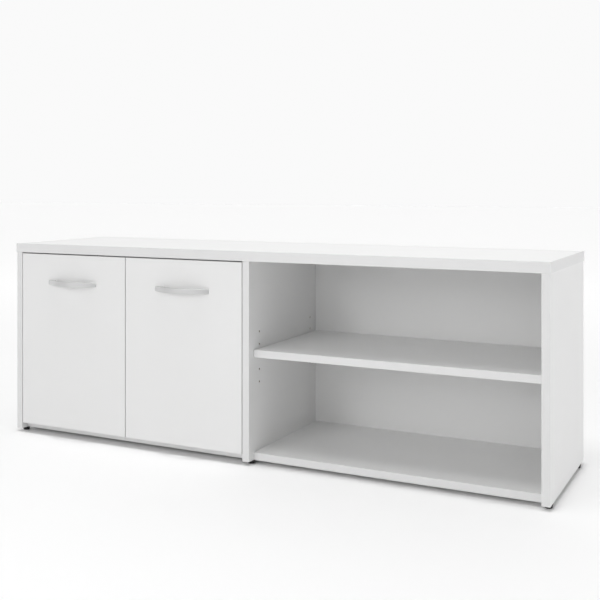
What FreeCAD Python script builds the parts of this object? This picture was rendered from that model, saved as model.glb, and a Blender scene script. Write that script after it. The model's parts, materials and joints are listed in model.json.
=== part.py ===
"""Low office credenza: a cupboard with two inset doors beside an open bay with one shelf.

Millimetres. X runs to the right, the front faces -Y and Z points up. The floor is z = 0, and the
origin lies on it under the middle of the whole piece, handles included. Every piece is written to
parts/ as its own STEP file.
"""
import os

import FreeCAD
import Part
from FreeCAD import Vector

# Overall sizes
WIDTH = 1510.0
DEPTH = 400.0
HEIGHT = 538.0

# Boards
TOP_THICKNESS = 25.4
UPRIGHT_THICKNESS = 19.0
BOTTOM_THICKNESS = 19.0
SHELF_THICKNESS = 19.0
DOOR_THICKNESS = 19.0
BACK_THICKNESS = 4.0
BAND_THICKNESS = 1.0
BAND_ROUND = 0.8

# How the boards sit
TOP_SIDE_OVERHANG = 2.0
TOP_FRONT_OVERHANG = 1.5
TOP_REAR_OVERHANG = 1.0
CENTRE_X = 0.0
FOOT_HEIGHT = 10.0
FRONT_RECESS = 23.5
BACK_INSET = 8.0
GROOVE_DEPTH = 6.0
GROOVE_CLEARANCE = 0.2

# Doors
DOOR_SIDE_GAP = 2.0
DOOR_MIDDLE_GAP = 2.0
DOOR_TOP_GAP = 3.0
DOOR_LAP = 2.4
HANDLE_DROP = 78.4
HANDLE_LENGTH = 165.0
HANDLE_HEIGHT = 15.0
HANDLE_END_HEIGHT = 12.5
HANDLE_BOW = 28.0
HANDLE_STRAP = 5.0
HANDLE_TIP = 2.0
HANDLE_FOOT = 26.0
HANDLE_EDGE_ROUND = 1.2
HANDLE_SCREW_SPACING = 128.0

# Shelves on pins in rows of holes
SHELF_SIDE_CLEARANCE = 1.0
SHELF_REAR_CLEARANCE = 2.0
PIN_DIAMETER = 5.0
PIN_HOLE_WEB = 0.7
PIN_PITCH = 32.0
PIN_ROWS = 5
PIN_MIDDLE_Z = 266.5
PIN_FRONT_SETBACK = 54.0
PIN_REAR_SETBACK = 48.0
PIN_TONGUE = 9.0
PIN_PLATE = 1.5
PIN_FLANGE = 0.8

# Feet
FOOT_TOP_DIAMETER = 21.0
FOOT_BASE_DIAMETER = 17.0
FOOT_STUD_DIAMETER = 6.0
FOOT_STUD_LENGTH = 24.0
FOOT_STUD_END_ROOM = 2.0
FOOT_SOLE_ROUND = 2.0
FOOT_INSERT_DIAMETER = 10.0
FOOT_INSERT_LENGTH = 28.0
FOOT_FRONT_SETBACK = 28.5
FOOT_REAR_SETBACK = 39.0
FOOT_STUD_CLEARANCE = 0.1

# Cam fittings and dowels
CAM_DIAMETER = 15.0
CAM_DEPTH = 12.5
CAM_SETBACK = 24.0
CAM_SLOT_LENGTH = 9.0
CAM_SLOT_WIDTH = 1.6
CAM_SLOT_DEPTH = 2.0
BOLT_SHANK_DIAMETER = 5.0
BOLT_HEAD_DIAMETER = 7.0
BOLT_HEAD_HEIGHT = 3.0
BOLT_COLLAR_HEIGHT = 2.0
BOLT_THREAD_LENGTH = 11.0
DOWEL_DIAMETER = 8.0
DOWEL_LENGTH = 30.0
DOWEL_IN_FACE = 11.0
DOWEL_OFFSET = 32.0
JOINT_SETBACK = 60.0
JOINT_STAGGER = 32.0
FIT_CLEARANCE = 0.15

# Concealed hinges. Their sizes are taken from the door's turning axis, which stands in the gap
# beside the door in the plane of its face: (inward from that axis, back from the door's face).
HINGE_END_SETBACK = 80.0
CUP_DIAMETER = 35.0
CUP_DEPTH = 12.0
CUP_WALL = 1.0
CUP_EDGE_DISTANCE = 22.5
CUP_FLANGE = 1.2
CUP_RIM = 1.5
CUP_WING_INNER = 3.0
CUP_WING_OUTER = 6.0
CUP_WING_END = 7.0
CUP_WING_ROUND = 3.0
CUP_SCREW_SPACING = 45.0
CUP_SCREW_OFFSET = 9.5
CUP_PIN_DEPTH = 16.5
HINGE_PIN_DIAMETER = 3.0
PIN_RUNNING_CLEARANCE = 0.08
PIN_PRESS_CLEARANCE = 0.02
ARM_PIN_INWARD = 16.0
ARM_PIN_BACK = 30.0
LEVER_GAP = 1.5
LEVER_WIDTH = 5.0
LEVER_THICKNESS = 7.0
LINK_WIDTH = 4.6
LINK_THICKNESS = 1.8
LINK_BRIDGE_SHARE = 0.45
LINK_BRIDGE_DIAMETER = 3.7
STACK_CLEARANCE = 0.25
ARM_WALL = 1.5
ARM_BACK_REACH = 44.0
ARM_NOSE_ROUND = 2.0
ARM_FOOT_START = 6.0
ARM_WEB_START = 12.0
ARM_TAIL_LENGTH = 6.0
ARM_TAIL_HEIGHT = 9.0
ARM_END_HEIGHT = 5.0
PLATE_SETBACK = 37.0
PLATE_LENGTH = 50.0
PLATE_WIDTH = 16.0
PLATE_THICKNESS = 3.0
PLATE_ROUND = 5.0
PLATE_SCREW_SPACING = 32.0

# Screws
WOOD_SCREW_DIAMETER = 3.5
WOOD_SCREW_HEAD = 7.0
WOOD_SCREW_HEAD_HEIGHT = 2.0
WOOD_SCREW_LENGTH = 14.0
ARM_SCREW_HEAD = 6.0
ARM_SCREW_HEAD_HEIGHT = 1.6
HANDLE_SCREW_DIAMETER = 4.0
HANDLE_SCREW_HEAD = 8.0
HANDLE_SCREW_HEAD_HEIGHT = 2.4
HANDLE_SCREW_GRIP = 8.0
HEAD_CHAMFER_SHARE = 0.4
RECESS_LENGTH_SHARE = 0.55
RECESS_WIDTH_SHARE = 0.14
RECESS_DEPTH_SHARE = 0.6

# Planes that several pieces share
HANDLE_REACH = HANDLE_BOW - TOP_FRONT_OVERHANG
TOP_FRONT = -(DEPTH - HANDLE_REACH) / 2
TOP_REAR = TOP_FRONT + DEPTH
FRONT_Y = TOP_FRONT + TOP_FRONT_OVERHANG
REAR_Y = TOP_REAR - TOP_REAR_OVERHANG
UNDER_TOP = HEIGHT - TOP_THICKNESS
LEFT_X = -WIDTH / 2 + TOP_SIDE_OVERHANG
RIGHT_X = WIDTH / 2 - TOP_SIDE_OVERHANG
LEFT_INNER = LEFT_X + UPRIGHT_THICKNESS
RIGHT_INNER = RIGHT_X - UPRIGHT_THICKNESS
CENTRE_LEFT = CENTRE_X - UPRIGHT_THICKNESS / 2
CENTRE_RIGHT = CENTRE_X + UPRIGHT_THICKNESS / 2
LEFT_BAY = (LEFT_INNER, CENTRE_LEFT)
RIGHT_BAY = (CENTRE_RIGHT, RIGHT_INNER)
BOARD_FRONT = FRONT_Y + FRONT_RECESS
BOTTOM_TOP = FOOT_HEIGHT + BOTTOM_THICKNESS
BACK_REAR = REAR_Y - BACK_INSET
BACK_FRONT = BACK_REAR - BACK_THICKNESS
SHELF_BOTTOM = PIN_MIDDLE_Z + PIN_DIAMETER / 2
PIN_DEPTH = (UPRIGHT_THICKNESS - PIN_HOLE_WEB) / 2 - FIT_CLEARANCE
PIN_YS = (FRONT_Y + PIN_FRONT_SETBACK, REAR_Y - PIN_REAR_SETBACK)
FOOT_YS = (FRONT_Y + FOOT_FRONT_SETBACK, REAR_Y - FOOT_REAR_SETBACK)
UPRIGHT_MIDDLES = (
    LEFT_X + UPRIGHT_THICKNESS / 2,
    CENTRE_X,
    RIGHT_X - UPRIGHT_THICKNESS / 2,
)

DOOR_BOTTOM = BOTTOM_TOP - DOOR_LAP
DOOR_TOP = UNDER_TOP - DOOR_TOP_GAP
DOOR_LEFT = LEFT_INNER + DOOR_SIDE_GAP
BAY_MIDDLE = (LEFT_INNER + CENTRE_LEFT) / 2
DOOR_RIGHT = BAY_MIDDLE - DOOR_MIDDLE_GAP / 2
DOOR_BACK = FRONT_Y + DOOR_THICKNESS
HINGE_ZS = (DOOR_BOTTOM + HINGE_END_SETBACK, DOOR_TOP - HINGE_END_SETBACK)
HANDLE_Z = DOOR_TOP - HANDLE_DROP

X_AXIS = Vector(1, 0, 0)
Y_AXIS = Vector(0, 1, 0)
Z_AXIS = Vector(0, 0, 1)
PARALLEL = 1e-6


# Helpers -------------------------------------------------------------------------------------

def box(x0, x1, y0, y1, z0, z1):
    """A block between two planes on each axis."""
    return Part.makeBox(x1 - x0, y1 - y0, z1 - z0, Vector(x0, y0, z0))


def rod(diameter, start, direction, length):
    """A round bar from a point along a direction."""
    return Part.makeCylinder(diameter / 2, length, start, direction)


def cut_all(solid, cutters):
    """The solid with every cutter taken out of it."""
    return solid.cut(Part.Compound(cutters)) if cutters else solid


def lens(diameter, height, at, direction):
    """A shallow round screw head, flat on its seat and cut back at the rim."""
    head = rod(diameter, at, direction, height)
    rim = [edge for edge in head.Edges if isinstance(edge.Curve, Part.Circle)
           and (edge.Curve.Center - at).dot(direction) > height / 2]
    return head.makeChamfer(height * HEAD_CHAMFER_SHARE, rim)


def cross_recess(length, width, depth, at, direction):
    """The cross that a driver fits, to cut from a face; direction points out of the face."""
    slot = Part.makeBox(length, width, depth, Vector(-length / 2, -width / 2, -depth))
    across = slot.copy()
    across.rotate(Vector(), Z_AXIS, 90)
    cross = slot.fuse(across)
    cross.Placement = FreeCAD.Placement(at, FreeCAD.Rotation(Z_AXIS, direction))
    return cross


def screw(seat, direction, shank, length, head, head_height):
    """A screw whose head stands on the seat; direction points from the seat into the hole."""
    outward = direction * -1
    body = rod(shank, seat, direction, length)
    body = body.fuse(lens(head, head_height, seat, outward)).removeSplitter()
    return body.cut(cross_recess(head * RECESS_LENGTH_SHARE, head * RECESS_WIDTH_SHARE,
                                 head_height * RECESS_DEPTH_SHARE, seat + outward * head_height,
                                 outward))


def edges_along(solid, direction):
    """The solid's straight edges that run along a direction."""
    return [edge for edge in solid.Edges if isinstance(edge.Curve, Part.Line)
            and edge.Curve.Direction.cross(direction).Length < PARALLEL]


def mirrored(shape):
    """The same piece on the other side of the cupboard's middle plane."""
    return shape.mirror(Vector(BAY_MIDDLE, 0, 0), X_AXIS)


def save(name, solids):
    """Write one node, which holds one solid or several alike."""
    pieces = [solid for shape in solids for solid in shape.Solids]
    shape = pieces[0] if len(pieces) == 1 else Part.Compound(pieces)
    shape.exportStep("parts/" + name + ".step")


# Panel joints: each end-grain joint has two cam fittings and two dowels -----------------------

class Joint:
    """The fittings where a board's end meets another board's face.

    at is the point on the face where the end board's middle plane meets it, along points from the
    face into the end board, and access points to the side of the end board where the cam is let in.
    """

    def __init__(self, at, along, access, half_thickness, dowel_side):
        self.at = at
        self.along = along
        self.access = access
        self.half_thickness = half_thickness
        self.dowel_at = at + Y_AXIS * (DOWEL_OFFSET * dowel_side)

    def cam_centre(self):
        return self.at + self.along * CAM_SETBACK

    def channel(self):
        """The hole from the board's end to just past the cam's centre, wide enough for the head."""
        return rod(BOLT_HEAD_DIAMETER + 2 * FIT_CLEARANCE, self.at, self.along,
                   CAM_SETBACK + BOLT_HEAD_DIAMETER / 2)

    def cam(self):
        """The cam: a slotted drum with a channel that takes the bolt's head."""
        outer = self.cam_centre() + self.access * self.half_thickness
        drum = rod(CAM_DIAMETER, outer, self.access * -1, CAM_DEPTH)
        cross = cross_recess(CAM_SLOT_LENGTH, CAM_SLOT_WIDTH, CAM_SLOT_DEPTH, outer, self.access)
        return drum.cut(self.channel()).cut(cross)

    def bolt(self):
        """The bolt: a thread in the face board, a collar on it, a shank and a head in the cam."""
        thread = rod(BOLT_SHANK_DIAMETER, self.at - self.along * BOLT_THREAD_LENGTH, self.along,
                     BOLT_THREAD_LENGTH + CAM_SETBACK)
        collar = rod(BOLT_HEAD_DIAMETER, self.at, self.along, BOLT_COLLAR_HEIGHT)
        head = rod(BOLT_HEAD_DIAMETER, self.cam_centre() - self.along * (BOLT_HEAD_HEIGHT / 2),
                   self.along, BOLT_HEAD_HEIGHT)
        return thread.fuse(collar).fuse(head).removeSplitter()

    def dowel(self):
        """The wooden dowel beside the cam."""
        return rod(DOWEL_DIAMETER, self.dowel_at - self.along * DOWEL_IN_FACE, self.along,
                   DOWEL_LENGTH)

    def face_cuts(self):
        """Holes in the board whose face is met."""
        bolt_hole = rod(BOLT_SHANK_DIAMETER + 2 * FIT_CLEARANCE, self.at, self.along * -1,
                        BOLT_THREAD_LENGTH + FIT_CLEARANCE)
        dowel_hole = rod(DOWEL_DIAMETER + 2 * FIT_CLEARANCE, self.dowel_at, self.along * -1,
                         DOWEL_IN_FACE + FIT_CLEARANCE)
        return [bolt_hole, dowel_hole]

    def end_cuts(self):
        """The cam's bore, the bolt's channel and the dowel's hole in the board that ends here."""
        outer = self.cam_centre() + self.access * self.half_thickness
        bore = rod(CAM_DIAMETER + 2 * FIT_CLEARANCE, outer, self.access * -1,
                   CAM_DEPTH + FIT_CLEARANCE)
        dowel_hole = rod(DOWEL_DIAMETER + 2 * FIT_CLEARANCE, self.dowel_at, self.along,
                         DOWEL_LENGTH - DOWEL_IN_FACE + FIT_CLEARANCE)
        return [bore, self.channel(), dowel_hole]


def top_joints():
    """Two joints per upright; the cams open on the sides that the cupboard or the end hides."""
    access_sides = (X_AXIS, X_AXIS * -1, X_AXIS * -1)
    joints = []
    for middle, access in zip(UPRIGHT_MIDDLES, access_sides):
        pair = []
        for y, dowel_side in ((FRONT_Y + JOINT_SETBACK, 1), (REAR_Y - JOINT_SETBACK, -1)):
            at = Vector(middle, y, UNDER_TOP)
            pair.append(Joint(at, Z_AXIS * -1, access, UPRIGHT_THICKNESS / 2, dowel_side))
        joints.append(pair)
    return joints


def bottom_joints(bay, stagger):
    """Four joints per bottom board, two at each end, with the cams let in from below."""
    middle_z = FOOT_HEIGHT + BOTTOM_THICKNESS / 2
    ends = []
    for x, along in ((bay[0], X_AXIS), (bay[1], X_AXIS * -1)):
        pair = []
        for y, dowel_side in ((BOARD_FRONT + JOINT_SETBACK + stagger, 1),
                              (REAR_Y - JOINT_SETBACK - stagger, -1)):
            pair.append(Joint(Vector(x, y, middle_z), along, Z_AXIS * -1,
                              BOTTOM_THICKNESS / 2, dowel_side))
        ends.append(pair)
    return ends


# Carcass boards ------------------------------------------------------------------------------

def back_grooves():
    """The slots that hold both back panels, as blocks to cut from the boards around them."""
    grooves = []
    for bay in (LEFT_BAY, RIGHT_BAY):
        grooves.append(box(bay[0] - GROOVE_DEPTH, bay[1] + GROOVE_DEPTH,
                           BACK_FRONT - GROOVE_CLEARANCE, BACK_REAR + GROOVE_CLEARANCE,
                           BOTTOM_TOP - GROOVE_DEPTH, UNDER_TOP + GROOVE_DEPTH))
    return grooves


def back_panel(bay):
    """A thin panel that fills a bay and reaches into the grooves on all four sides."""
    reach = GROOVE_DEPTH - GROOVE_CLEARANCE
    return box(bay[0] - reach, bay[1] + reach, BACK_FRONT, BACK_REAR,
               BOTTOM_TOP - reach, UNDER_TOP + reach)


def pin_holes(face_x, inward):
    """Two columns of shelf pin holes in an upright's face."""
    holes = []
    for y in PIN_YS:
        for row in range(PIN_ROWS):
            z = PIN_MIDDLE_Z + (row - PIN_ROWS // 2) * PIN_PITCH
            holes.append(rod(PIN_DIAMETER, Vector(face_x, y, z), X_AXIS * -inward,
                             PIN_DEPTH + FIT_CLEARANCE))
    return holes


def foot_bores(middle_x):
    """The bores that take the foot inserts, in an upright's lower edge."""
    return [rod(FOOT_INSERT_DIAMETER + 2 * FIT_CLEARANCE, Vector(middle_x, y, FOOT_HEIGHT),
                Z_AXIS, FOOT_INSERT_LENGTH + FIT_CLEARANCE) for y in FOOT_YS]


def upright(middle_x, inner_faces, joint_cuts, hinge_cuts):
    """An end or centre panel; inner_faces pairs each face in a bay with its inward direction."""
    half = UPRIGHT_THICKNESS / 2
    board = box(middle_x - half, middle_x + half, FRONT_Y + BAND_THICKNESS, REAR_Y,
                FOOT_HEIGHT, UNDER_TOP)
    cuts = joint_cuts + hinge_cuts + foot_bores(middle_x) + back_grooves()
    for face_x, inward in inner_faces:
        cuts += pin_holes(face_x, inward)
    return cut_all(board, cuts)


def front_band(x0, x1, front, z0, z1):
    """A strip of edging on a board's front edge, with its two long front arrises rounded."""
    along = X_AXIS if x1 - x0 > z1 - z0 else Z_AXIS
    blank = box(x0, x1, front, front + 2 * BAND_THICKNESS, z0, z1)
    blank = blank.makeFillet(BAND_ROUND, edges_along(blank, along))
    return blank.common(box(x0, x1, front, front + BAND_THICKNESS, z0, z1))


def top_panel(joint_cuts):
    """The top board inside its edging."""
    board = box(-WIDTH / 2 + BAND_THICKNESS, WIDTH / 2 - BAND_THICKNESS,
                TOP_FRONT + BAND_THICKNESS, TOP_REAR - BAND_THICKNESS, UNDER_TOP, HEIGHT)
    return cut_all(board, joint_cuts + back_grooves())


def top_edge_bands():
    """Four strips round the top: the long ones cover the ends of the short ones."""
    x = WIDTH / 2
    band = BAND_THICKNESS
    front = TOP_FRONT + band
    rear = TOP_REAR - band
    whole = box(-x, x, TOP_FRONT, TOP_REAR, UNDER_TOP, HEIGHT)
    whole = whole.makeFillet(BAND_ROUND, whole.Edges)
    strips = [box(-x, x, TOP_FRONT, front, UNDER_TOP, HEIGHT),
              box(-x, x, rear, TOP_REAR, UNDER_TOP, HEIGHT),
              box(-x, -x + band, front, rear, UNDER_TOP, HEIGHT),
              box(x - band, x, front, rear, UNDER_TOP, HEIGHT)]
    return [whole.common(strip) for strip in strips]


def bottom_panel(bay, joint_cuts):
    """The board that closes a bay below."""
    board = box(bay[0], bay[1], BOARD_FRONT + BAND_THICKNESS, REAR_Y, FOOT_HEIGHT, BOTTOM_TOP)
    return cut_all(board, joint_cuts + back_grooves())


def shelf_span(bay):
    """A shelf's two ends, clear of the uprights."""
    return bay[0] + SHELF_SIDE_CLEARANCE, bay[1] - SHELF_SIDE_CLEARANCE


def shelf(bay):
    """The loose shelf board, in front of the back panel."""
    x0, x1 = shelf_span(bay)
    return box(x0, x1, BOARD_FRONT + BAND_THICKNESS, BACK_FRONT - SHELF_REAR_CLEARANCE,
               SHELF_BOTTOM, SHELF_BOTTOM + SHELF_THICKNESS)


def shelf_pin(face_x, inward, y):
    """A peg in its hole, a plate on the upright's face and a tongue under the shelf."""
    peg = rod(PIN_DIAMETER - 2 * FIT_CLEARANCE,
              Vector(face_x - inward * PIN_DEPTH, y, PIN_MIDDLE_Z), X_AXIS * inward, PIN_DEPTH)
    xs = sorted((face_x, face_x + inward * PIN_FLANGE))
    plate = box(xs[0], xs[1], y - PIN_DIAMETER, y + PIN_DIAMETER,
                SHELF_BOTTOM - PIN_DIAMETER, SHELF_BOTTOM)
    xs = sorted((face_x, face_x + inward * PIN_TONGUE))
    tongue = box(xs[0], xs[1], y - PIN_DIAMETER, y + PIN_DIAMETER,
                 SHELF_BOTTOM - PIN_PLATE, SHELF_BOTTOM)
    return peg.fuse(plate).fuse(tongue).removeSplitter()


def shelf_pins(bay):
    """The four pins under one shelf."""
    return [shelf_pin(face_x, inward, y) for face_x, inward in ((bay[0], 1), (bay[1], -1))
            for y in PIN_YS]


# Feet ----------------------------------------------------------------------------------------

def foot_insert(x, y):
    """A threaded sleeve let into an upright's lower edge."""
    sleeve = rod(FOOT_INSERT_DIAMETER, Vector(x, y, FOOT_HEIGHT), Z_AXIS, FOOT_INSERT_LENGTH)
    return sleeve.cut(rod(FOOT_STUD_DIAMETER + 2 * FOOT_STUD_CLEARANCE,
                          Vector(x, y, FOOT_HEIGHT), Z_AXIS,
                          FOOT_STUD_LENGTH + FOOT_STUD_END_ROOM))


def levelling_foot(x, y):
    """A tapered glide with a rounded sole, on a stud that runs up into the insert."""
    glide = Part.makeCone(FOOT_BASE_DIAMETER / 2, FOOT_TOP_DIAMETER / 2, FOOT_HEIGHT)
    sole = [edge for edge in glide.Edges if isinstance(edge.Curve, Part.Circle)
            and edge.Curve.Center.z < FOOT_HEIGHT / 2]
    glide = glide.makeFillet(FOOT_SOLE_ROUND, sole)
    foot = glide.fuse(rod(FOOT_STUD_DIAMETER, Vector(0, 0, FOOT_HEIGHT), Z_AXIS,
                          FOOT_STUD_LENGTH)).removeSplitter()
    foot.translate(Vector(x, y, 0))
    return foot


# Concealed hinges: a cup in the door, an arm on the upright, two levers and a link -------------

def hinge_point(inward, back, z=0.0):
    """A point given from the left door's turning axis and face plane."""
    return Vector(LEFT_INNER + DOOR_SIDE_GAP / 2 + inward, FRONT_Y + back, z)


CUP_INWARD = DOOR_SIDE_GAP / 2 + CUP_EDGE_DISTANCE
CUP_PIN = hinge_point(CUP_INWARD, CUP_PIN_DEPTH)
ARM_PIN = hinge_point(ARM_PIN_INWARD, ARM_PIN_BACK)
ARM_REACH = ARM_PIN - hinge_point(0, 0)
LEVER_SPAN = CUP_PIN - hinge_point(0, 0)
# The second lever is parallel to the first, farther from the door's axis by a share of ARM_REACH
SECOND_LEVER_SHARE = ((LEVER_WIDTH + LEVER_GAP) * LEVER_SPAN.Length
                      / ARM_REACH.cross(LEVER_SPAN).Length)
SECOND_ARM_PIN = ARM_PIN + ARM_REACH * SECOND_LEVER_SHARE
LINK_PIN = ARM_PIN + LEVER_SPAN
SECOND_LINK_PIN = SECOND_ARM_PIN + LEVER_SPAN
LEVER_HALF = LEVER_THICKNESS / 2
LINK_INNER = LEVER_HALF + STACK_CLEARANCE
LINK_OUTER = LINK_INNER + LINK_THICKNESS
EAR_INNER = LINK_OUTER + STACK_CLEARANCE
EAR_OUTER = EAR_INNER + ARM_WALL


def bar(points, width, z0, z1):
    """A flat bar with round ends that runs through points in the XY plane."""
    solid = None
    for start, end in zip(points, points[1:]):
        run = end - start
        across = Vector(-run.y, run.x, 0).normalize() * (width / 2)
        corners = [start + across, end + across, end - across, start - across, start + across]
        slab = Part.Face(Part.makePolygon(corners)).extrude(Vector(0, 0, z1 - z0))
        for point in (start, end):
            slab = slab.fuse(rod(width, Vector(point.x, point.y, 0), Z_AXIS, z1 - z0))
        solid = slab if solid is None else solid.fuse(slab)
    solid = solid.removeSplitter()
    solid.translate(Vector(0, 0, z0))
    return solid


def pin(point, reach, clearance=0.0):
    """A hinge pin, or the bore for one, that stands evenly about the hinge's middle plane."""
    return rod(HINGE_PIN_DIAMETER + 2 * clearance, Vector(point.x, point.y, -reach), Z_AXIS,
               2 * reach)


def lever(arm_pin, link_pin):
    """A lever that turns on an arm pin and carries its own pin for the link."""
    plate = bar([arm_pin, link_pin], LEVER_WIDTH, -LEVER_HALF, LEVER_HALF)
    plate = plate.cut(pin(arm_pin, LEVER_HALF, PIN_RUNNING_CLEARANCE))
    return plate.fuse(pin(link_pin, LINK_OUTER)).removeSplitter()


def link():
    """Two plates joined by a bridge: it hangs on both levers and holds the cup's pin."""
    points = [CUP_PIN, LINK_PIN, SECOND_LINK_PIN]
    cheeks = [bar(points, LINK_WIDTH, -LINK_OUTER, -LINK_INNER),
              bar(points, LINK_WIDTH, LINK_INNER, LINK_OUTER)]
    middle = CUP_PIN + (LINK_PIN - CUP_PIN) * LINK_BRIDGE_SHARE
    bridge = rod(LINK_BRIDGE_DIAMETER, Vector(middle.x, middle.y, -LINK_INNER), Z_AXIS,
                 2 * LINK_INNER)
    solid = cheeks[0].fuse(cheeks[1]).fuse(bridge)
    for point in points:
        solid = solid.cut(pin(point, LINK_OUTER, PIN_RUNNING_CLEARANCE))
    return solid.removeSplitter()


def hinge_cup():
    """The pressed cup with its flange and the holes for the pin across its mouth."""
    mouth = Vector(CUP_PIN.x, DOOR_BACK, 0)
    bowl = rod(CUP_DIAMETER, mouth, Y_AXIS * -1, CUP_DEPTH)
    ring = rod(CUP_DIAMETER + 2 * CUP_RIM, mouth, Y_AXIS, CUP_FLANGE)
    half = CUP_SCREW_SPACING / 2 + CUP_WING_END
    wings = box(mouth.x - CUP_WING_INNER, mouth.x + CUP_SCREW_OFFSET + CUP_WING_OUTER,
                mouth.y, mouth.y + CUP_FLANGE, -half, half)
    wings = wings.makeFillet(CUP_WING_ROUND, edges_along(wings, Y_AXIS))
    hollow = rod(CUP_DIAMETER - 2 * CUP_WALL, mouth + Y_AXIS * CUP_FLANGE, Y_AXIS * -1,
                 CUP_DEPTH + CUP_FLANGE - CUP_WALL)
    cup = bowl.fuse(ring).fuse(wings).cut(hollow)
    cup = cup.cut(pin(CUP_PIN, CUP_DIAMETER / 2, PIN_PRESS_CLEARANCE))
    for z in (-CUP_SCREW_SPACING / 2, CUP_SCREW_SPACING / 2):
        at = Vector(mouth.x + CUP_SCREW_OFFSET, mouth.y, z)
        cup = cup.cut(rod(WOOD_SCREW_DIAMETER + 2 * FIT_CLEARANCE, at, Y_AXIS, CUP_FLANGE))
    return cup.removeSplitter()


def cup_screw_places():
    """Where the cup's two screws stand on its flange, with the hinge's middle at z = 0."""
    return [Vector(CUP_PIN.x + CUP_SCREW_OFFSET, DOOR_BACK + CUP_FLANGE, z)
            for z in (-CUP_SCREW_SPACING / 2, CUP_SCREW_SPACING / 2)]


def hinge_arm():
    """A channel-shaped arm with two ears at its nose that hold the levers' pins."""
    face = LEFT_INNER + PLATE_THICKNESS
    nose = HINGE_PIN_DIAMETER / 2 + ARM_NOSE_ROUND
    tail_y = ARM_PIN.y + ARM_BACK_REACH
    low = Vector(face, ARM_PIN.y + ARM_FOOT_START, 0)
    outline = [low, Vector(ARM_PIN.x - nose, ARM_PIN.y - nose / 3, 0),
               Vector(ARM_PIN.x - nose / 3, ARM_PIN.y - nose, 0),
               Vector(ARM_PIN.x + nose, ARM_PIN.y - nose / 5, 0),
               Vector(SECOND_ARM_PIN.x + nose, SECOND_ARM_PIN.y, 0),
               Vector(SECOND_ARM_PIN.x, SECOND_ARM_PIN.y + nose, 0),
               Vector(face + ARM_TAIL_HEIGHT, tail_y - ARM_TAIL_LENGTH, 0),
               Vector(face + ARM_END_HEIGHT, tail_y, 0), Vector(face, tail_y, 0), low]
    blank = Part.Face(Part.makePolygon(outline)).extrude(Vector(0, 0, 2 * EAR_OUTER))
    blank.translate(Vector(0, 0, -EAR_OUTER))
    channel = box(face - ARM_WALL, SECOND_ARM_PIN.x + 2 * nose, FRONT_Y, tail_y - ARM_WALL,
                  -EAR_INNER, EAR_INNER)
    web = box(face, face + ARM_WALL, ARM_PIN.y + ARM_WEB_START, tail_y, -EAR_OUTER, EAR_OUTER)
    return blank.cut(channel).fuse(web).removeSplitter()


def arm_with_holes():
    """The arm with its pin holes and the hole for its fixing screw."""
    arm = hinge_arm()
    for point in (ARM_PIN, SECOND_ARM_PIN):
        arm = arm.cut(pin(point, EAR_OUTER, PIN_PRESS_CLEARANCE))
    seat = arm_screw_seat()
    return arm.cut(rod(HANDLE_SCREW_DIAMETER + 2 * FIT_CLEARANCE, seat, X_AXIS * -1, ARM_WALL))


def arm_screw_seat():
    """Where the arm's fixing screw stands on the web."""
    return Vector(LEFT_INNER + PLATE_THICKNESS + ARM_WALL, FRONT_Y + DOOR_THICKNESS + PLATE_SETBACK,
                  0)


def arm_screw():
    """The screw that clamps the arm on its plate."""
    return screw(arm_screw_seat(), X_AXIS * -1, HANDLE_SCREW_DIAMETER, ARM_WALL + PLATE_THICKNESS,
                 ARM_SCREW_HEAD, ARM_SCREW_HEAD_HEIGHT)


def hinge_plate():
    """The mounting plate: a cross with a long wing for its two screws."""
    middle_y = arm_screw_seat().y
    wing = box(LEFT_INNER, LEFT_INNER + PLATE_THICKNESS, middle_y - PLATE_WIDTH / 2,
               middle_y + PLATE_WIDTH / 2, -PLATE_LENGTH / 2, PLATE_LENGTH / 2)
    wing = wing.makeFillet(PLATE_ROUND, edges_along(wing, X_AXIS))
    rail = box(LEFT_INNER, LEFT_INNER + PLATE_THICKNESS, ARM_PIN.y + ARM_WEB_START,
               ARM_PIN.y + ARM_BACK_REACH, -EAR_OUTER, EAR_OUTER)
    plate = wing.fuse(rail).removeSplitter()
    plate = plate.cut(rod(HANDLE_SCREW_DIAMETER, Vector(LEFT_INNER, middle_y, 0), X_AXIS,
                          PLATE_THICKNESS))
    for place in plate_screw_places():
        plate = plate.cut(rod(WOOD_SCREW_DIAMETER + 2 * FIT_CLEARANCE, place, X_AXIS * -1,
                              PLATE_THICKNESS))
    return plate


def plate_screw_places():
    """Where the plate's two screws stand on it."""
    middle_y = arm_screw_seat().y
    return [Vector(LEFT_INNER + PLATE_THICKNESS, middle_y, z)
            for z in (-PLATE_SCREW_SPACING / 2, PLATE_SCREW_SPACING / 2)]


def plate_screw(place):
    return screw(place, X_AXIS * -1, WOOD_SCREW_DIAMETER, WOOD_SCREW_LENGTH, WOOD_SCREW_HEAD,
                 WOOD_SCREW_HEAD_HEIGHT)


def cup_screw(place):
    return screw(place, Y_AXIS * -1, WOOD_SCREW_DIAMETER, WOOD_SCREW_LENGTH, WOOD_SCREW_HEAD,
                 WOOD_SCREW_HEAD_HEIGHT)


def screw_hole(place, direction, depth):
    """The pilot hole under a wood screw."""
    return rod(WOOD_SCREW_DIAMETER + 2 * FIT_CLEARANCE, place, direction, depth + FIT_CLEARANCE)


def at_hinges(shapes):
    """Copies of the shapes at both hinges of a door."""
    copies = []
    for z in HINGE_ZS:
        for shape in shapes:
            copy = shape.copy()
            copy.translate(Vector(0, 0, z))
            copies.append(copy)
    return copies


# Doors ---------------------------------------------------------------------------------------

DOOR_MIDDLE = (DOOR_LEFT + DOOR_RIGHT) / 2
HANDLE_SCREW_XS = (DOOR_MIDDLE - HANDLE_SCREW_SPACING / 2, DOOR_MIDDLE + HANDLE_SCREW_SPACING / 2)


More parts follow.
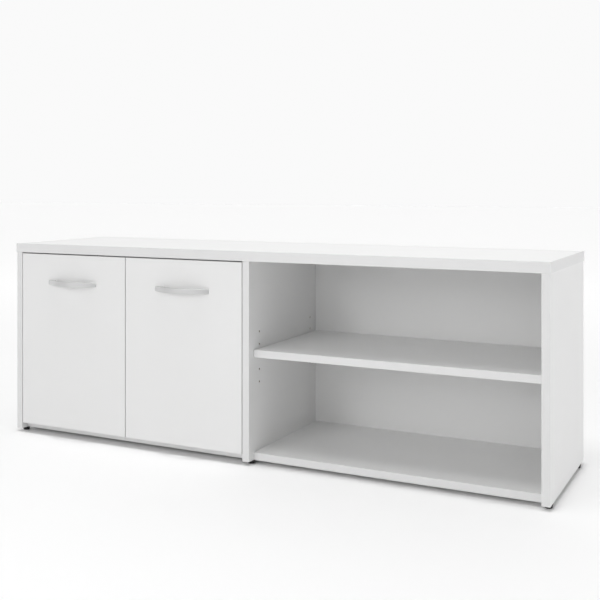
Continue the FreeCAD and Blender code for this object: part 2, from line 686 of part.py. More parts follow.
def door_panel():
    """The door's core with the bores for its cups and the holes for its handle."""
    band = BAND_THICKNESS
    core = box(DOOR_LEFT + band, DOOR_RIGHT - band, FRONT_Y, DOOR_BACK,
               DOOR_BOTTOM + band, DOOR_TOP - band)
    cup_bore = rod(CUP_DIAMETER + 2 * FIT_CLEARANCE, Vector(CUP_PIN.x, DOOR_BACK, 0),
                   Y_AXIS * -1, CUP_DEPTH + FIT_CLEARANCE)
    pilots = [screw_hole(place, Y_AXIS * -1, WOOD_SCREW_LENGTH) for place in cup_screw_places()]
    cuts = at_hinges([cup_bore] + pilots)
    for x in HANDLE_SCREW_XS:
        cuts.append(rod(HANDLE_SCREW_DIAMETER + 2 * FIT_CLEARANCE, Vector(x, FRONT_Y, HANDLE_Z),
                        Y_AXIS, DOOR_THICKNESS))
    return cut_all(core, cuts)


def door_edge_bands():
    """Edging on the door's four edges; the upright strips cover the ends of the level ones."""
    left = DOOR_LEFT + BAND_THICKNESS
    right = DOOR_RIGHT - BAND_THICKNESS
    bottom = DOOR_BOTTOM + BAND_THICKNESS
    top = DOOR_TOP - BAND_THICKNESS
    whole = box(DOOR_LEFT, DOOR_RIGHT, FRONT_Y, DOOR_BACK, DOOR_BOTTOM, DOOR_TOP)
    whole = whole.makeFillet(BAND_ROUND, whole.Edges)
    strips = [box(DOOR_LEFT, left, FRONT_Y, DOOR_BACK, DOOR_BOTTOM, DOOR_TOP),
              box(right, DOOR_RIGHT, FRONT_Y, DOOR_BACK, DOOR_BOTTOM, DOOR_TOP),
              box(left, right, FRONT_Y, DOOR_BACK, DOOR_BOTTOM, bottom),
              box(left, right, FRONT_Y, DOOR_BACK, top, DOOR_TOP)]
    return [whole.common(strip) for strip in strips]


def handle_plan():
    """The handle from above: a crescent with solid feet flat on the door, taller than needed."""
    half = HANDLE_LENGTH / 2
    inner = half - HANDLE_FOOT
    z = HANDLE_Z - HANDLE_HEIGHT
    left_tip = Vector(DOOR_MIDDLE - half, FRONT_Y - HANDLE_TIP, z)
    crown = Vector(DOOR_MIDDLE, FRONT_Y - HANDLE_BOW, z)
    right_tip = Vector(DOOR_MIDDLE + half, FRONT_Y - HANDLE_TIP, z)
    right_heel = Vector(DOOR_MIDDLE + half, FRONT_Y, z)
    inner_right = Vector(DOOR_MIDDLE + inner, FRONT_Y, z)
    inner_crown = Vector(DOOR_MIDDLE, FRONT_Y - HANDLE_BOW + HANDLE_STRAP, z)
    inner_left = Vector(DOOR_MIDDLE - inner, FRONT_Y, z)
    left_heel = Vector(DOOR_MIDDLE - half, FRONT_Y, z)
    outline = Part.Wire([
        Part.Arc(left_tip, crown, right_tip).toShape(),
        Part.makeLine(right_tip, right_heel),
        Part.makeLine(right_heel, inner_right),
        Part.Arc(inner_right, inner_crown, inner_left).toShape(),
        Part.makeLine(inner_left, left_heel),
        Part.makeLine(left_heel, left_tip)])
    return Part.Face(outline).extrude(Vector(0, 0, 2 * HANDLE_HEIGHT))


def handle_elevation():
    """The handle from the front: highest at the crown and lower towards both ends."""
    half = HANDLE_LENGTH / 2
    end = HANDLE_END_HEIGHT / 2
    y = FRONT_Y - HANDLE_BOW
    left_low = Vector(DOOR_MIDDLE - half, y, HANDLE_Z - end)
    right_low = Vector(DOOR_MIDDLE + half, y, HANDLE_Z - end)
    right_high = Vector(DOOR_MIDDLE + half, y, HANDLE_Z + end)
    left_high = Vector(DOOR_MIDDLE - half, y, HANDLE_Z + end)
    crown_low = Vector(DOOR_MIDDLE, y, HANDLE_Z - HANDLE_HEIGHT / 2)
    crown_high = Vector(DOOR_MIDDLE, y, HANDLE_Z + HANDLE_HEIGHT / 2)
    outline = Part.Wire([
        Part.Arc(left_low, crown_low, right_low).toShape(),
        Part.makeLine(right_low, right_high),
        Part.Arc(right_high, crown_high, left_high).toShape(),
        Part.makeLine(left_high, left_low)])
    return Part.Face(outline).extrude(Vector(0, HANDLE_BOW, 0))


def handle():
    """A bow handle with rounded long edges and a screw hole in each foot."""
    body = handle_plan().common(handle_elevation())
    bow_edges = [edge for edge in body.Edges if not isinstance(edge.Curve, Part.Line)
                 and edge.BoundBox.YMin < FRONT_Y - HANDLE_TIP]
    body = body.makeFillet(HANDLE_EDGE_ROUND, bow_edges)
    for x in HANDLE_SCREW_XS:
        body = body.cut(rod(HANDLE_SCREW_DIAMETER, Vector(x, FRONT_Y, HANDLE_Z), Y_AXIS * -1,
                            HANDLE_SCREW_GRIP))
    return body


def handle_screw(x):
    """A machine screw from the door's back into a foot of the handle."""
    return screw(Vector(x, DOOR_BACK, HANDLE_Z), Y_AXIS * -1, HANDLE_SCREW_DIAMETER,
                 DOOR_THICKNESS + HANDLE_SCREW_GRIP, HANDLE_SCREW_HEAD, HANDLE_SCREW_HEAD_HEIGHT)


# Assembly ------------------------------------------------------------------------------------

def save_carcass():
    """Boards, edging, backs, cam fittings and dowels."""
    tops = top_joints()
    left_bottom = bottom_joints(LEFT_BAY, 0.0)
    right_bottom = bottom_joints(RIGHT_BAY, JOINT_STAGGER / 2)
    hinge_pilots = at_hinges([screw_hole(Vector(LEFT_INNER, place.y, place.z), X_AXIS * -1,
                                         WOOD_SCREW_LENGTH - PLATE_THICKNESS)
                              for place in plate_screw_places()])
    far_pilots = [mirrored(hole) for hole in hinge_pilots]

    top_cuts = [cut for pair in tops for joint in pair for cut in joint.face_cuts()]
    save("top_panel", [top_panel(top_cuts)])
    save("top_edge_bands", top_edge_bands())

    def joint_cuts(index, bottom_ends):
        cuts = [cut for joint in tops[index] for cut in joint.end_cuts()]
        return cuts + [cut for pair in bottom_ends for joint in pair for cut in joint.face_cuts()]

    save("left_end_panel", [upright(UPRIGHT_MIDDLES[0], [(LEFT_INNER, 1)],
                                    joint_cuts(0, [left_bottom[0]]), hinge_pilots)])
    save("centre_panel", [upright(UPRIGHT_MIDDLES[1], [(CENTRE_LEFT, -1), (CENTRE_RIGHT, 1)],
                                  joint_cuts(1, [left_bottom[1], right_bottom[0]]), far_pilots)])
    save("right_end_panel", [upright(UPRIGHT_MIDDLES[2], [(RIGHT_INNER, -1)],
                                     joint_cuts(2, [right_bottom[1]]), [])])
    save("upright_edge_bands", [front_band(x - UPRIGHT_THICKNESS / 2, x + UPRIGHT_THICKNESS / 2,
                                           FRONT_Y, FOOT_HEIGHT, UNDER_TOP)
                                for x in UPRIGHT_MIDDLES])

    bands = []
    for name, bay, ends in (("left", LEFT_BAY, left_bottom), ("right", RIGHT_BAY, right_bottom)):
        cuts = [cut for pair in ends for joint in pair for cut in joint.end_cuts()]
        save(name + "_bottom_panel", [bottom_panel(bay, cuts)])
        save(name + "_back_panel", [back_panel(bay)])
        bands.append(front_band(bay[0], bay[1], BOARD_FRONT, FOOT_HEIGHT, BOTTOM_TOP))
    save("bottom_edge_bands", bands)

    top_fittings = [joint for pair in tops for joint in pair]
    bottom_fittings = [joint for pair in left_bottom + right_bottom for joint in pair]
    save("top_cam_locks", [joint.cam() for joint in top_fittings])
    save("top_cam_bolts", [joint.bolt() for joint in top_fittings])
    save("bottom_cam_locks", [joint.cam() for joint in bottom_fittings])
    save("bottom_cam_bolts", [joint.bolt() for joint in bottom_fittings])
    save("wooden_dowels", [joint.dowel() for joint in top_fittings + bottom_fittings])


def save_shelves():
    """Both shelves, their edging and their pins."""
    bands = []
    for name, bay in (("left", LEFT_BAY), ("right", RIGHT_BAY)):
        x0, x1 = shelf_span(bay)
        save(name + "_shelf", [shelf(bay)])
        save(name + "_shelf_pins", shelf_pins(bay))
        bands.append(front_band(x0, x1, BOARD_FRONT, SHELF_BOTTOM, SHELF_BOTTOM + SHELF_THICKNESS))
    save("shelf_edge_bands", bands)


def save_feet():
    """Six feet and their inserts."""
    inserts = []
    for side, x in zip(("left", "centre", "right"), UPRIGHT_MIDDLES):
        for end, y in zip(("front", "rear"), FOOT_YS):
            save(side + "_" + end + "_foot", [levelling_foot(x, y)])
            inserts.append(foot_insert(x, y))
    save("foot_inserts", inserts)


def save_door(side, place):
    """One door with its handle and hinges; place puts the left door's pieces on this side."""
    pieces = {
        "door": [door_panel()],
        "door_edge_bands": door_edge_bands(),
        "handle": [handle()],
        "handle_screws": [handle_screw(x) for x in HANDLE_SCREW_XS],
        "hinge_cups": at_hinges([hinge_cup()]),
        "cup_pins": at_hinges([pin(CUP_PIN, CUP_DIAMETER / 2 - CUP_WALL / 4)]),
        "cup_screws": at_hinges([cup_screw(at) for at in cup_screw_places()]),
        "front_levers": at_hinges([lever(ARM_PIN, LINK_PIN)]),
        "rear_levers": at_hinges([lever(SECOND_ARM_PIN, SECOND_LINK_PIN)]),
        "hinge_links": at_hinges([link()]),
        "hinge_arms": at_hinges([arm_with_holes()]),
        "arm_pins": at_hinges([pin(ARM_PIN, EAR_OUTER), pin(SECOND_ARM_PIN, EAR_OUTER)]),
        "arm_screws": at_hinges([arm_screw()]),
        "hinge_plates": at_hinges([hinge_plate()]),
        "plate_screws": at_hinges([plate_screw(at) for at in plate_screw_places()]),
    }
    for name, solids in pieces.items():
        save(side + "_" + name, [place(solid) for solid in solids])


def build():
    os.makedirs("parts", exist_ok=True)
    save_carcass()
    save_shelves()
    save_feet()
    save_door("left", lambda shape: shape)
    save_door("right", mirrored)


build()
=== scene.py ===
# %% [markdown]
# # A low office credenza
#
# The piece of furniture is a flat-pack classic: white-coated boards, plastic edging, two doors
# on concealed hinges and an open bay with a loose shelf. Its shapes are already exact in the
# CAD model, so this notebook keeps them and spends its effort on what the CAD model can't say:
# how the boards and the small fittings behind the doors are finished, and the soft light of a
# studio.

# %% Load the CAD model as a fixed frame
import json
import math

import bmesh
import bpy
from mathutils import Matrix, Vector


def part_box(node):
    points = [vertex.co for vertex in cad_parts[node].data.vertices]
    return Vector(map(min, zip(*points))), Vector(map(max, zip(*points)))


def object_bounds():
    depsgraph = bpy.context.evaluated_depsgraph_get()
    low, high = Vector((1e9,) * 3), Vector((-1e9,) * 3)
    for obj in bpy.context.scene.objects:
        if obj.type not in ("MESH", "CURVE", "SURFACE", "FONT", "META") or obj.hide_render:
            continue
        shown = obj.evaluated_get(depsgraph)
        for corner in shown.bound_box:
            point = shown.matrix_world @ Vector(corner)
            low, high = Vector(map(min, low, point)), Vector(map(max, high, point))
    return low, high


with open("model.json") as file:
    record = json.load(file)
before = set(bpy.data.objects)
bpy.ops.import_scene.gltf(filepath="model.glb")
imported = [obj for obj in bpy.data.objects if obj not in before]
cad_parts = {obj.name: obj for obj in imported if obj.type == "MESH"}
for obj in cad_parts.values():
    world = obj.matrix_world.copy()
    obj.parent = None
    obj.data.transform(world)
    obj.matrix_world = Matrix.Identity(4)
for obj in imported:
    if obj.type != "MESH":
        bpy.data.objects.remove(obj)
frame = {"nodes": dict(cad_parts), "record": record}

cad_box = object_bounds()
nodes = frame["nodes"]

# %% [markdown]
# ## Which way round the piece stands
#
# The CAD model is in metres here: X runs to the right, the front looks towards -Y and the floor
# is at Z = 0. Three sizes are measured first. They could be trusted blindly, but a model that
# arrives in the wrong unit spoils every pattern and lamp below, and here that shows at once.

# %% Measure the main sizes
low, high = cad_box
top_low, top_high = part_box("top_edge_bands")
width = high[0] - low[0]
depth = top_high.y - top_low.y
height = high[2] - low[2]
mm_per_metre = 1000
print(f"top {width * mm_per_metre:.0f} x {depth * mm_per_metre:.0f} mm,",
      f"{height * mm_per_metre:.0f} mm high")

# %% [markdown]
# ## Shader maths written as sums
#
# A material is a graph of small nodes, and a graph is tedious to read as code. So a tiny class
# wraps one output socket and gives it Python's own operators: `1 - mask` then adds the Math
# node that does the subtraction. Every other node comes from one method of the graph that holds
# it.

# %% A socket that can be used in sums
class Signal:
    """One number or vector that varies over a surface."""

    def __init__(self, graph, socket):
        self.graph = graph
        self.socket = socket

    def _sum(self, operation, first, second):
        return self.graph.add("Math", {"operation": operation}, {0: first, 1: second})

    def __add__(self, other):
        return self._sum("ADD", self, other)

    def __radd__(self, other):
        return self._sum("ADD", other, self)

    def __sub__(self, other):
        return self._sum("SUBTRACT", self, other)

    def __rsub__(self, other):
        return self._sum("SUBTRACT", other, self)

    def __mul__(self, other):
        return self._sum("MULTIPLY", self, other)

    def __rmul__(self, other):
        return self._sum("MULTIPLY", other, self)

    def __lt__(self, other):
        return self._sum("LESS_THAN", self, other)

    def __gt__(self, other):
        return self._sum("GREATER_THAN", self, other)

    def __abs__(self):
        return self._sum("ABSOLUTE", self, 0.0)


# %% A graph of nodes
class Graph:
    """A node tree and the methods that add nodes to it."""

    def __init__(self, tree):
        self.tree = tree

    def add(self, kind, settings=None, inputs=None, output=0):
        """Add a node: its settings come first, then a value or a link for each named socket."""
        node = self.tree.nodes.new("ShaderNode" + kind)
        for key, value in (settings or {}).items():
            setattr(node, key, value)
        for key, value in (inputs or {}).items():
            self.feed(node.inputs[key], value)
        return Signal(self, node.outputs[output])

    def feed(self, socket, value):
        """Link a signal into a socket, or set the socket's own value."""
        if isinstance(value, Signal):
            self.tree.links.new(value.socket, socket)
        else:
            socket.default_value = value

    def axes(self, vector):
        """The three parts of a vector."""
        first = self.add("SeparateXYZ", {}, {0: vector})
        return [Signal(self, output) for output in first.socket.node.outputs]

    def ramp(self, value, start, end, low, high):
        """Go smoothly from low to high where the value goes from start to end."""
        return self.add("MapRange", {"interpolation_type": "SMOOTHSTEP"},
                        {"Value": value, 1: start, 2: end, 3: low, 4: high})


# %% [markdown]
# ## A recipe for each material
#
# A recipe is the graph of one material. Noise comes out between 0 and 1, but nearly all of it
# lies around the middle, so a recipe stretches only that middle onto the values that a finish
# needs. Patterns read Object coordinates, which are metres here. A hand-painted picture wrapped
# round each board would need its own map, and this way every board has the same scale without
# one.

# %% The recipe and the greys
usual_middle = (0.3, 0.7)
sharp_middle = (0.35, 0.65)


def grey(level):
    """A neutral colour."""
    return (level, level, level, 1)


class Recipe(Graph):
    """A new material with a Principled shader."""

    def __init__(self, name, **shader_values):
        self.material = bpy.data.materials.new(name)
        self.material.use_nodes = True
        super().__init__(self.material.node_tree)
        self.shader = self.tree.nodes["Principled BSDF"]
        for socket, value in shader_values.items():
            self.shader.inputs[socket.replace("_", " ")].default_value = value
        self.place = self.add("TexCoord", output="Object")

    def stretched(self, scale):
        """The place with each axis scaled: a small number draws a pattern out along that axis."""
        return self.add("Mapping", {}, {"Vector": self.place, "Scale": scale})

    def noise(self, size, detail=2.0, roughness=0.5, place=None):
        """Cloudy noise from 0 to 1 whose blobs are about size metres across."""
        return self.add("TexNoise", {}, {"Vector": place or self.place, "Scale": 1 / size,
                                         "Detail": detail, "Roughness": roughness}, "Fac")

    def blend(self, mask, first, second):
        """A colour that goes from first to second where the mask goes from 0 to 1."""
        return self.add("Mix", {"data_type": "RGBA"}, {"Factor": mask, 6: first, 7: second}, 2)

    def spread(self, noise, low, high, middle=usual_middle):
        """Stretch the middle of a noise onto low to high, and hold it at both ends."""
        return self.add("MapRange", {}, {"Value": noise, 1: middle[0], 2: middle[1],
                                         3: low, 4: high})

    def paint(self, **signals):
        """Feed signals into the shader, such as Roughness or Base_Color."""
        for socket, value in signals.items():
            self.feed(self.shader.inputs[socket.replace("_", " ")], value)

    def emboss(self, relief, depth):
        """Make the shading follow a relief of a given depth in metres."""
        self.paint(Normal=self.add("Bump", {}, {"Height": relief, "Distance": depth}, "Normal"))


def dress(name, material):
    """Give a CAD node one material."""
    nodes[name].data.materials.clear()
    nodes[name].data.materials.append(material)


print("recipe ready")

# %% [markdown]
# ## White melamine on chipboard
#
# The boards are chipboard pressed between two sheets of white paper soaked in melamine. The
# press plate leaves a fine pearl structure, a few hundredths of a millimetre deep, which breaks
# up every reflection. Where a hole or a groove is cut, the coat ends and the brown chips show.
# Those places could be painted one by one, but one mask finds them all on any board: a point
# that lies deeper inside the board's box than the coat is thick can only be on the wall of a
# cut.

# %% Colours and sizes of the board finish
white, warm_white = grey(0.855), (0.84, 0.84, 0.835, 1)
chip_dark, chip_light = (0.17, 0.12, 0.085, 1), (0.42, 0.32, 0.22, 1)
# Sizes and depths are in metres, here and in every finish below.
coat = 0.0003
cloud_size, smear_size = 0.25, 0.12
pearl_size, pearl_depth = 0.0011, 0.00003
chip_size, chip_depth_in_pearls = 0.0016, 6.0
board_roughness, raw_extra_roughness = (0.44, 0.52), 0.4


# %% A board's finish
def inside_of(recipe, board_low, board_high):
    """1 deeper inside a board's box than its coat is thick, and 0 on its outside."""
    inside = None
    for along, start, end in zip(recipe.axes(recipe.place), board_low, board_high):
        within = abs(along - (start + end) / 2) < (end - start) / 2 - coat
        inside = within if inside is None else inside * within
    return inside


def melamine(name, board_low, board_high):
    """White melamine outside and raw chipboard on the walls of every cut."""
    recipe = Recipe(name)
    inside = inside_of(recipe, board_low, board_high)
    tint = recipe.blend(recipe.noise(cloud_size), white, warm_white)
    chips = recipe.noise(chip_size, detail=4.0, roughness=0.7)
    core = recipe.blend(recipe.spread(chips, 0.0, 1.0, sharp_middle), chip_dark, chip_light)
    gloss = recipe.spread(recipe.noise(smear_size, detail=3.0), *board_roughness)
    recipe.paint(Base_Color=recipe.blend(inside, tint, core),
                 Roughness=gloss + inside * raw_extra_roughness)
    pearl = recipe.noise(pearl_size, detail=1.0)
    recipe.emboss(pearl + inside * chips * chip_depth_in_pearls, pearl_depth)
    return recipe.material


boards = [name for name in nodes if name.endswith(("_panel", "_shelf", "_door"))
          and not name.endswith("back_panel")]
for name in boards:
    dress(name, melamine("melamine_" + name, *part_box(name)))
print("boards:", len(boards))

# %% [markdown]
# ## Lacquered back panels
#
# The two back panels are thin hardboard, lacquered white on both sides. They could share the
# boards' finish, but the lacquer is flatter than melamine and has the faint ripple of the
# fibres below it, which shows where light grazes the open bay's back.

# %% The back panels' finish
lacquer, lacquer_shade = grey(0.85), (0.83, 0.83, 0.825, 1)
lacquer_cloud_size = 0.2
ripple_size, ripple_depth = 0.006, 0.00004
fibre_size, fibre_share = 0.0012, 0.5
lacquer_roughness = (0.5, 0.58)


def hardboard():
    """White lacquer over pressed fibre."""
    recipe = Recipe("hardboard")
    ripple = recipe.noise(ripple_size, detail=3.0)
    fibres = recipe.noise(fibre_size, detail=5.0, roughness=0.65)
    clouds = recipe.noise(lacquer_cloud_size)
    recipe.paint(Base_Color=recipe.blend(clouds, lacquer, lacquer_shade),
                 Roughness=recipe.spread(ripple, *lacquer_roughness))
    recipe.emboss(ripple + fibres * fibre_share, ripple_depth)
    return recipe.material


lacquered = hardboard()
back_panels = [name for name in nodes if name.endswith("back_panel")]
for name in back_panels:
    dress(name, lacquered)
print("back panels:", len(back_panels))

# %% [markdown]
# ## Edging
#
# The narrow sides carry a strip of white plastic, one millimetre thick, glued on hot and
# trimmed flush. It is coloured to match the board, and it is a little smoother and shinier,
# with faint lines along it from the trimming knife. One noise, drawn out along X, gives the
# lines both their gloss and their relief, which is cheaper than cutting them into the mesh.

# %% The edging's finish
edging_dark, edging_light = grey(0.77), grey(0.785)
edging_cloud_size = 0.08
line_gap, line_depth = 0.0006, 0.00001
along_the_strip = (0.03, 1.0, 1.0)
edging_roughness = (0.34, 0.46)


def edging_finish():
    """White plastic with faint trimming lines."""
    recipe = Recipe("white_edging")
    clouds = recipe.noise(edging_cloud_size)
    lines = recipe.noise(line_gap, place=recipe.stretched(along_the_strip))
    recipe.paint(Base_Color=recipe.blend(clouds, edging_dark, edging_light),
                 Roughness=recipe.spread(lines, *edging_roughness))
    recipe.emboss(lines, line_depth)
    return recipe.material


edging = edging_finish()
edge_bands = [name for name in nodes if name.endswith("edge_bands")]
for name in edge_bands:
    dress(name, edging)
print("groups of edging:", len(edge_bands))

# %% [markdown]
# ## Satin handles
#
# The bow handles are zinc castings under a satin silver lacquer. The metal itself is bright,
# and the lacquer spreads its reflections, so the bow shows soft light and dark bands and no
# sharp ones. A pure metal would mirror the dark parts of the studio as hard lines, so the
# recipe is only three quarters metal, and its flakes are felt more than seen.

# %% The handles' finish
silver_dark, silver_light = grey(0.58), grey(0.64)
flake_size, flake_depth = 0.0004, 0.000002
haze_size, silver_roughness = 0.02, (0.28, 0.33)


def satin_finish():
    """Silver lacquer with a very fine sparkle."""
    recipe = Recipe("satin_silver", Metallic=0.75)
    flakes = recipe.noise(flake_size, detail=1.0)
    recipe.paint(Base_Color=recipe.blend(flakes, silver_dark, silver_light),
                 Roughness=recipe.spread(recipe.noise(haze_size), *silver_roughness))
    recipe.emboss(flakes, flake_depth)
    return recipe.material


satin = satin_finish()
for side in ("left", "right"):
    dress(side + "_handle", satin)
print("handles done")

# %% [markdown]
# ## Nickel on the hinges and screws
#
# The hinge parts are pressed from rolled strip and plated with bright nickel, and so are the
# screws. Rolling leaves streaks along the strip and plating leaves faint stains. Both could be
# one noise, but two at their own scales look less like a pattern.

# %% The nickel finish
nickel_dark, nickel_light = (0.66, 0.65, 0.63, 1), (0.74, 0.735, 0.72, 1)
streak_size, streak_depth = 0.0005, 0.000004
stain_size = 0.006
along_the_arm = (1.0, 0.1, 1.0)
nickel_roughness = (0.18, 0.32)


def plated_steel():
    """Bright nickel with the faint streaks of rolled strip."""
    recipe = Recipe("plated_steel", Metallic=1.0)
    streaks = recipe.noise(streak_size, detail=3.0, place=recipe.stretched(along_the_arm))
    stains = recipe.noise(stain_size, detail=3.0)
    recipe.paint(Base_Color=recipe.blend(stains, nickel_dark, nickel_light),
                 Roughness=recipe.spread(streaks, *nickel_roughness))
    recipe.emboss(streaks, streak_depth)
    return recipe.material


nickel = plated_steel()
print("made", nickel.name)

# %% [markdown]
# ## Cast zinc on the cams
#
# The cam locks come from a die and stay as cast: dull grey, with tiny pits where gas was
# trapped. The same noise darkens, roughens and sinks each pit, as in the real metal.

# %% The zinc finish
zinc_dark, zinc_light = (0.36, 0.36, 0.37, 1), (0.52, 0.52, 0.53, 1)
pit_size, pit_depth = 0.0007, 0.00005
zinc_roughness = (0.42, 0.6)


def cast_zinc():
    """Dull grey casting, slightly pitted."""
    recipe = Recipe("cast_zinc", Metallic=0.9)
    pits = recipe.noise(pit_size, detail=3.0, roughness=0.6)
    recipe.paint(Base_Color=recipe.blend(pits, zinc_dark, zinc_light),
                 Roughness=recipe.spread(pits, *zinc_roughness))
    recipe.emboss(pits, pit_depth)
    return recipe.material


zinc = cast_zinc()
print("made", zinc.name)

# %% [markdown]
# ## Beech for the dowels
#
# Dowels are turned from beech, a pale wood with short dark flecks along its grain. A picture of
# wood would be drawn round the dowel like wallpaper. Noise drawn out along X runs through the
# wood instead, as real grain does.

# %% The beech finish
beech_dark, beech_light = (0.42, 0.27, 0.14, 1), (0.62, 0.45, 0.27, 1)
fleck_size, fleck_depth = 0.0008, 0.00005
along_the_grain = (0.15, 1.0, 1.0)
beech_roughness = (0.55, 0.7)


def turned_beech():
    """Pale beech with short dark flecks along the grain."""
    recipe = Recipe("turned_beech")
    flecks = recipe.noise(fleck_size, detail=4.0, roughness=0.6,
                          place=recipe.stretched(along_the_grain))
    contrast = recipe.spread(flecks, 0.0, 1.0, sharp_middle)
    recipe.paint(Base_Color=recipe.blend(contrast, beech_dark, beech_light),
                 Roughness=recipe.spread(flecks, *beech_roughness))
    recipe.emboss(flecks, fleck_depth)
    return recipe.material


beech = turned_beech()
print("made", beech.name)

# %% [markdown]
# ## Black and milky plastic
#
# The feet are moulded in black plastic whose mould was spark-eroded, which leaves an even matt
# grain. The shelf pins are nylon: light enters a little way and comes out again, so they look
# milky. White paint would look chalky there, and a little subsurface light gives the right
# depth.

# %% The two plastics
black_deep, black_worn = (0.008, 0.008, 0.009, 1), (0.018, 0.018, 0.019, 1)
grain_size, grain_depth = 0.0005, 0.00004
black_roughness = (0.42, 0.6)
nylon_shade, nylon_light = (0.76, 0.76, 0.735, 1), (0.82, 0.82, 0.80, 1)
flow_size, flow_depth = 0.003, 0.00002
nylon_roughness = (0.35, 0.45)


def moulded_black():
    """Matt black plastic with a spark-eroded grain."""
    recipe = Recipe("moulded_black")
    grain = recipe.noise(grain_size)
    recipe.paint(Base_Color=recipe.blend(grain, black_deep, black_worn),
                 Roughness=recipe.spread(grain, *black_roughness))
    recipe.emboss(grain, grain_depth)
    return recipe.material


def milky_nylon():
    """Slightly translucent white nylon, as clip-on shelf pins are moulded from."""
    recipe = Recipe("milky_nylon", Subsurface_Weight=0.3, Subsurface_Scale=0.001)
    flow = recipe.noise(flow_size)
    recipe.paint(Base_Color=recipe.blend(flow, nylon_shade, nylon_light),
                 Roughness=recipe.spread(flow, *nylon_roughness))
    recipe.emboss(flow, flow_depth)
    return recipe.material


black, nylon = moulded_black(), milky_nylon()
print("made", black.name, "and", nylon.name)

# %% [markdown]
# ## Every fitting gets its finish
#
# The record that came with the CAD model names a material slot for each part. The finishes
# could be given out by hand, node by node, but reading the slots means that a fitting added to
# the model later is dressed as well.

# %% Give every fitting the finish of its slot
finishes = {"plated_steel": nickel, "zinc_casting": zinc, "beech": beech,
            "black_plastic": black, "white_nylon": nylon}
fittings = [part for part in frame["record"]["subparts"] if part["material_slot"] in finishes]
for part in fittings:
    dress(part["node"], finishes[part["material_slot"]])
print("groups of fittings:", len(fittings))

# %% [markdown]
# ## A white floor without a horizon
#
# The floor is a wide sheet of white paper. A real studio curves the paper up behind the piece.
# A flat sheet is simpler, and it is kept from ending in a grey line by a glow of its own: a
# faint one all round the furniture, and a stronger one that grows with the distance until the
# far paper is as white as the backdrop. The near glow follows an oval, because the furniture is
# long.

# %% The paper floor
paper_shade, paper_white = grey(0.928), grey(0.932)
paper_cloud_size = 0.5
oval = (0.4, 1.0, 1.0)
near_starts, near_full, near_glow = 0.3, 0.7, 0.04
far_starts, far_full, far_glow = 1.0, 5.0, 0.20
floor_size = 30.0


def paper_floor():
    """Almost white paper that glows more and more with the distance."""
    recipe = Recipe("studio_paper", Roughness=0.9, Emission_Strength=1.0)
    length = {"operation": "LENGTH"}
    near = recipe.add("VectorMath", length, {0: recipe.stretched(oval)}, "Value")
    far = recipe.add("VectorMath", length, {0: recipe.place}, "Value")
    clouds = recipe.noise(paper_cloud_size)
    recipe.paint(Base_Color=recipe.blend(clouds, paper_shade, paper_white),
                 Emission_Color=recipe.ramp(near, near_starts, near_full, 0.0, near_glow)
                 + recipe.ramp(far, far_starts, far_full, 0.0, far_glow))
    return recipe.material


sheet = bmesh.new()
bmesh.ops.create_grid(sheet, x_segments=1, y_segments=1, size=floor_size)
floor_mesh = bpy.data.meshes.new("floor")
sheet.to_mesh(floor_mesh)
sheet.free()
floor = bpy.data.objects.new("floor", floor_mesh)
bpy.context.scene.collection.objects.link(floor)
floor_mesh.materials.append(paper_floor())
print("floor half width in metres:", floor_size)

# %% [markdown]
# ## The walls of the studio
#
# The sky stands for the studio's walls and ceiling. Low down it is bright behind the piece, and
# in front it has a window of light, brighter on its right, between two dark gaps, as a studio
# has black flags beside its main light. The gaps keep the fronts a shade darker than the top,
# and the handles mirror them as dark bands. The middle of the sky is bright all round and the
# ceiling is dim, because lamps do the work there. More panels could do this too, but each would
# show in the handles as a sharp patch, and a few smooth steps in the sky don't. The camera
# itself sees an even backdrop.

# %% A sky with a window and two dark gaps
backdrop = 0.955
middle_light = 0.75
ceiling_light = 0.2
# Each step: degrees to the right of straight ahead, and by how much the light changes there.
low_steps = ((-80, -0.955), (-50, 0.50), (-10, 0.28), (25, -0.78), (80, 0.955))
step_width = 5
# Heights are sines of the angle above the horizon.
low_ends, ceiling_begins = (0.2, 0.35), (0.6, 0.8)

world = bpy.data.worlds.new("studio")
world.use_nodes = True
sky = Graph(world.node_tree)
east, north, up = sky.axes(sky.add("TexCoord", output="Generated"))
turn = sky.add("Math", {"operation": "ARCTAN2"}, {0: east, 1: 0 - north}) * math.degrees(1)
low_light = backdrop
for edge, change in low_steps:
    low_light = low_light + sky.ramp(turn, edge - step_width, edge + step_width, 0, change)
low_part = sky.ramp(up, *low_ends, 1, 0)
ceiling_part = sky.ramp(up, *ceiling_begins, 0, 1)
light = (low_part * low_light + ceiling_part * ceiling_light
         + (1 - low_part - ceiling_part) * middle_light)
seen = sky.add("LightPath", output="Is Camera Ray")
sky.feed(sky.tree.nodes["Background"].inputs["Color"], light + seen * (backdrop - light))
bpy.context.scene.world = world
bpy.context.scene.view_settings.view_transform = "Standard"
print("steps in the low sky:", len(low_steps))

# %% [markdown]
# ## Soft panels
#
# Large panels of light give soft shadows. One hangs overhead, a little in front, so that it
# reaches past the top's front edge onto the shelf and the bottom, and one behind keeps the rear
# from going dull. The others stand in front and at the sides at low power: each lifts one kind
# of face, such as the fronts, the right end or the handles. The last one has a grid, which
# narrows its beam to little more than the open bay.


# %% Hang the panels
def soft_panel(name, place, target, size, power, beam=180):
    """A rectangular light that looks from a place at a target, in a beam of some degrees."""
    lamp = bpy.data.lights.new(name, "AREA")
    lamp.shape = "RECTANGLE"
    lamp.size, lamp.size_y = size
    lamp.energy = power
    lamp.spread = math.radians(beam)
    panel = bpy.data.objects.new(name, lamp)
    panel.location = place
    aim = Vector(target) - Vector(place)
    panel.rotation_euler = aim.to_track_quat("-Z", "Y").to_euler()
    bpy.context.scene.collection.objects.link(panel)


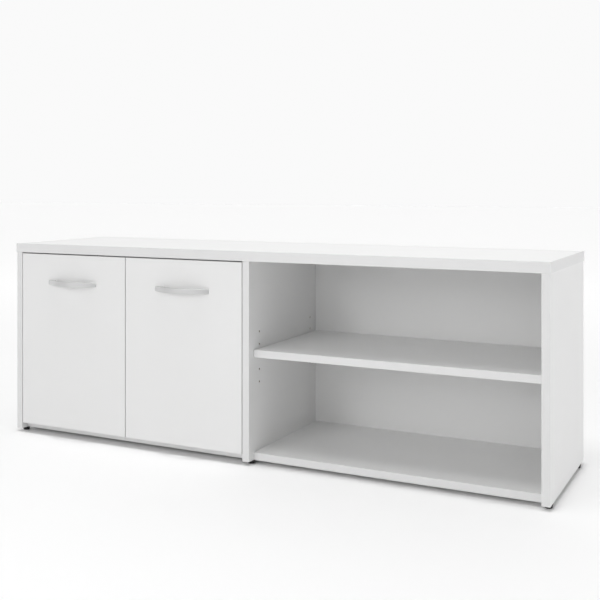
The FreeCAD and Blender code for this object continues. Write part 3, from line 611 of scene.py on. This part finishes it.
middle = (0.0, 0.0, 0.3)
bay_side = (0.2, 0.0, 0.3)
bay_inside = (0.45, 0.1, 0.2)
handles = (-0.4, -0.2, 0.43)
soft_panel("overhead_panel", (0.0, -0.9, 4.0), middle, (2.0, 1.2), power=30)
soft_panel("rear_panel", (0.0, 2.5, 3.0), middle, (2.0, 2.0), power=9)
soft_panel("front_panel", (-1.2, -4.5, 2.0), bay_side, (1.0, 1.0), power=23)
soft_panel("side_panel", (5.0, 0.5, 1.5), bay_side, (1.5, 1.5), power=15)
soft_panel("left_panel", (-4.0, 0.0, 0.7), handles, (1.2, 1.2), power=3.3)
soft_panel("handle_panel", (-1.9, -3.4, 0.7), handles, (1.5, 1.5), power=1.8)
soft_panel("bay_panel", (0.4, -4.0, 1.2), bay_inside, (0.8, 0.8), power=0.27, beam=25)
print("lights:", len(bpy.data.lights))

# %% [markdown]
# ## A small lamp high above
#
# Panels alone leave the piece floating, because their shadows are too soft to tie it to the
# floor. A small lamp far above, almost straight over the piece, draws a narrow dark band along
# its foot. A sun lamp does this best: its rays are nearly parallel, and its width sets how soft
# the band's edge is. A point lamp near by would spread its shadows outwards.

# %% Hang the ceiling lamp
lamp_power = 0.95
lamp_width_deg = 3.5
lamp_tilt_deg = 0.7
ceiling_lamp = bpy.data.lights.new("ceiling_lamp", "SUN")
ceiling_lamp.energy = lamp_power
ceiling_lamp.angle = math.radians(lamp_width_deg)
ceiling = bpy.data.objects.new("ceiling_lamp", ceiling_lamp)
ceiling.rotation_euler = (math.radians(lamp_tilt_deg), 0, 0)
bpy.context.scene.collection.objects.link(ceiling)
print(f"ceiling lamp tilted by {lamp_tilt_deg} degrees")

# %% [markdown]
# ## The camera
#
# The camera stands to the right of the open bay and looks level. Tilting it down would make the
# upright edges run together, so the lens is shifted instead, which slides the view until the
# furniture stands in the lower half of the frame.

# %% A level camera with a shifted lens
eye = Vector((1.1826, -2.2484, 0.6997))
turn_deg = 26.811
level_deg = 90
lens_mm, sensor_mm = 56.857, 36
shift_x, shift_y = 0.00757, -0.18896
camera_data = bpy.data.cameras.new("camera")
camera_data.sensor_width = sensor_mm
camera_data.lens = lens_mm
camera_data.shift_x = shift_x
camera_data.shift_y = shift_y
camera = bpy.data.objects.new("camera", camera_data)
camera.location = eye
camera.rotation_euler = (math.radians(level_deg), 0, math.radians(turn_deg))
bpy.context.scene.collection.objects.link(camera)
bpy.context.scene.camera = camera
print(f"camera {-eye.y:.2f} m in front of the middle and {eye.z:.2f} m high")
